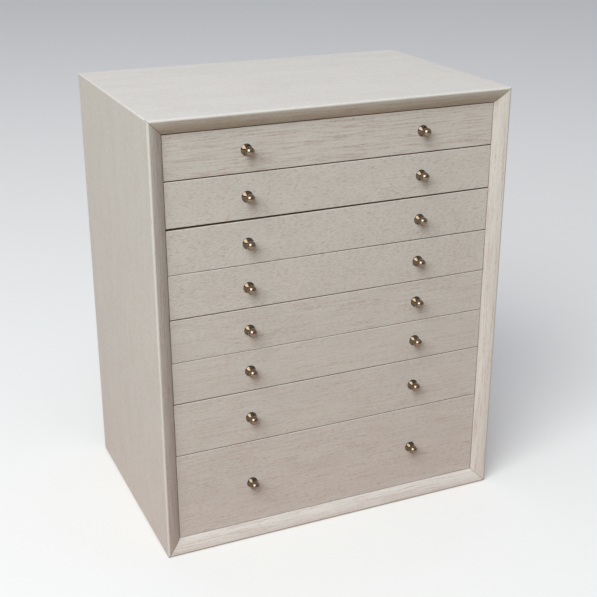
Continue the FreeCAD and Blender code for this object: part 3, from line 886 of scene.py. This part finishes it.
def drawer_lining(number):
    """A velvet-covered tray with rolled top edges and soft inner corners."""
    low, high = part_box(f"drawer_{number}_lining")
    piece = block(f"drawer_{number}_velvet", low, high)
    pick_faces(piece, lambda middle, normal: normal.z > FACES_UP)
    bpy.ops.mesh.inset(thickness=LINING, depth=0)
    depth = high.z - low.z - LINING
    bpy.ops.mesh.extrude_region_move(TRANSFORM_OT_translate={"value": (0, 0, -depth)})
    close_mesh()
    floor = low.z + LINING

    def inner_corner(a, b):
        inside = all(low.x + 0.5 * LINING < end.x < high.x - 0.5 * LINING
                     and low.y + 0.5 * LINING < end.y < high.y - 0.5 * LINING
                     for end in (a, b))
        return inside and min(a.z, b.z) < floor + SAME

    pick_edges(piece, inner_corner)
    bevel(LINING_CORNER, LINING_CORNER_STEPS)
    pick_edges(piece, lambda a, b: min(a.z, b.z) > high.z - SAME)
    bevel(LINING_ROLLED, LINING_ROLLED_STEPS)
    smooth(piece, angle=50)
    dress(piece, f"drawer_{number}", VELVET, "velvet", f"drawer_{number}_lining")


def ring_rolls():
    """Padded rolls that hold rings between them, each with rounded, tucked-in ends."""
    low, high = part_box("drawer_1_ring_rolls")
    radius = (high.z - low.z) / 2
    pitch = (high.y - low.y - 2 * radius) / (ROLLS - 1)
    half = high.x
    left = [(-half + ROLL_TUCK * deep, radius * out) for deep, out in TUCK_SHAPE]
    left += arc(-half + ROLL_END, radius - ROLL_END, ROLL_END, 180, 90, ROLL_END_STEPS)
    left += [(-half * (1 - share), radius) for share in ROLL_RINGS]
    stations = left + [(0, radius)] + [(-along, wide) for along, wide in reversed(left)]
    roll = turned("roll", stations, ROLL_SIDES)
    smooth(roll, angle=60)
    lie = Matrix.Rotation(math.pi / 2, 4, "Z")
    for index in range(ROLLS):
        place = Matrix.Translation((0, low.y + radius + pitch * index, low.z + radius))
        piece = copied(roll, f"ring_roll_{index + 1}", place @ lie)
        dress(piece, "drawer_1", VELVET, "velvet", "drawer_1_ring_rolls")
    bpy.data.objects.remove(roll)


first_knob = knob()
for number in DRAWERS:
    drawer_front(number)
    drawer_sides(number)
    drawer_back(number)
    drawer_lining(number)
    for name, way in (("left", -1), ("right", 1)):
        place = Matrix.Translation((way * KNOB_X, DRAWER_Y, knob_level(number)))
        dress(copied(first_knob, f"drawer_{number}_knob_{name}", place), f"drawer_{number}",
              KNOB_METAL, "knob_metal", f"drawer_{number}_knobs")
    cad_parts[f"drawer_{number}_bottom"].material_slots[0].material = BOX_WOOD_X
bpy.data.objects.remove(first_knob)
ring_rolls()
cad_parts["back_panel"].material_slots[0].material = BACK_BOARD
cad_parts["drawer_runners"].material_slots[0].material = RUNNER_WOOD


# ---------- Studio ----------

# The floor: its tone, and the tones of the light that it throws back, near the case and at
# the far distance
FLOOR_SIZE = 240
FLOOR_TONE = (0.86, 0.855, 0.845, 1)
THROWN_NEAR = (0.26, 0.08, 0.003, 1)
THROWN_FAR = (0.17, 0.13, 0.055, 1)
THROWN_FADE = (0.35, 0.60)

# The room: what its walls give as light and how they look, the paler wall behind the case
# and the way to it, and the light of the ceiling
WALL_LIGHT = (0.16, 0.16, 0.16, 1)
WALL_LOOK = (0.31, 0.31, 0.33, 1)
WALL_BEHIND = (0.42, 0.42, 0.42, 1)
CEILING_LIGHT = (0.58, 0.60, 0.67, 1)
BEHIND_WAY = (0.55, 0.83, 0)
BEHIND_FADE = (-0.05, 0.45)
CEILING_FADE = (0.55, 0.85)

# The photograph's view: where the camera stands, and how many degrees it looks down and to
# the right
CAMERA_PLACE = (-0.42280, -0.97920, 0.61970)
CAMERA_DOWN = 21.770
CAMERA_RIGHT = 23.859
CAMERA_LENS = 67.485


def looked_at(tree):
    """1 where something is looked at, also in metal or glass, and 0 where it only lights."""
    paths = add(tree, "LightPath").outputs
    seen = sums(tree, "MAXIMUM", paths["Is Camera Ray"], paths["Is Glossy Ray"])
    return sums(tree, "MAXIMUM", seen, paths["Is Transmission Ray"])


def floor():
    """A plain pale floor. The light that it throws back up on the case is a warm brown near
    it, and paler further off."""
    bpy.ops.mesh.primitive_plane_add(size=FLOOR_SIZE, location=(0, 0, 0))
    piece = bpy.context.object
    piece.name = "floor"
    made, tree, shader = material("pale floor")
    reach = add(tree, "VectorMath", {0: add(tree, "TexCoord").outputs["Object"]},
                operation="LENGTH").outputs["Value"]
    thrown = mixed(tree, span(tree, reach, *THROWN_FADE), THROWN_NEAR, THROWN_FAR)
    tree.links.new(mixed(tree, looked_at(tree), thrown, FLOOR_TONE),
                   shader.inputs["Base Color"])
    shader.inputs["Roughness"].default_value = 0.9
    shader.inputs["Specular IOR Level"].default_value = 0.1
    piece.data.materials.append(made)


def lamp(name, direction, distance, size, power, color):
    """A square soft lamp that looks at the middle of the case from a direction."""
    target = Vector((0, 0, CASE_TOP / 2))
    way = Vector(direction).normalized()
    bpy.ops.object.light_add(type="AREA", location=target + way * distance)
    light = bpy.context.object
    light.name = name
    light.rotation_euler = way.to_track_quat("Z", "Y").to_euler()
    light.data.size = size
    light.data.energy = power
    light.data.color = color


def studio():
    """A grey room, pale behind the case, with a broad soft light on its ceiling. Its walls
    look paler than the light that they give."""
    world = bpy.data.worlds.new("studio")
    world.use_nodes = True
    tree = world.node_tree
    direction = add(tree, "TexCoord").outputs["Generated"]
    behind = add(tree, "VectorMath", {0: direction, 1: BEHIND_WAY},
                 operation="DOT_PRODUCT").outputs["Value"]
    dim = mixed(tree, looked_at(tree), WALL_LIGHT, WALL_LOOK)
    walls = mixed(tree, span(tree, behind, *BEHIND_FADE), dim, WALL_BEHIND)
    upward = add(tree, "SeparateXYZ", {0: direction}).outputs["Z"]
    ceiling = span(tree, upward, *CEILING_FADE)
    tree.links.new(mixed(tree, ceiling, walls, CEILING_LIGHT),
                   tree.nodes["Background"].inputs["Color"])
    bpy.context.scene.world = world


floor()
lamp("key", direction=(-0.561, -0.522, 0.642), distance=4.0, size=3.2, power=182,
     color=(0.97, 1.0, 0.98))
studio()

camera = bpy.data.objects.new("camera", bpy.data.cameras.new("camera"))
bpy.context.scene.collection.objects.link(camera)
bpy.context.scene.camera = camera
camera.data.lens = CAMERA_LENS
camera.location = CAMERA_PLACE
camera.rotation_euler = (math.radians(90 - CAMERA_DOWN), 0, math.radians(-CAMERA_RIGHT))
bpy.context.scene.view_settings.view_transform = "Standard"
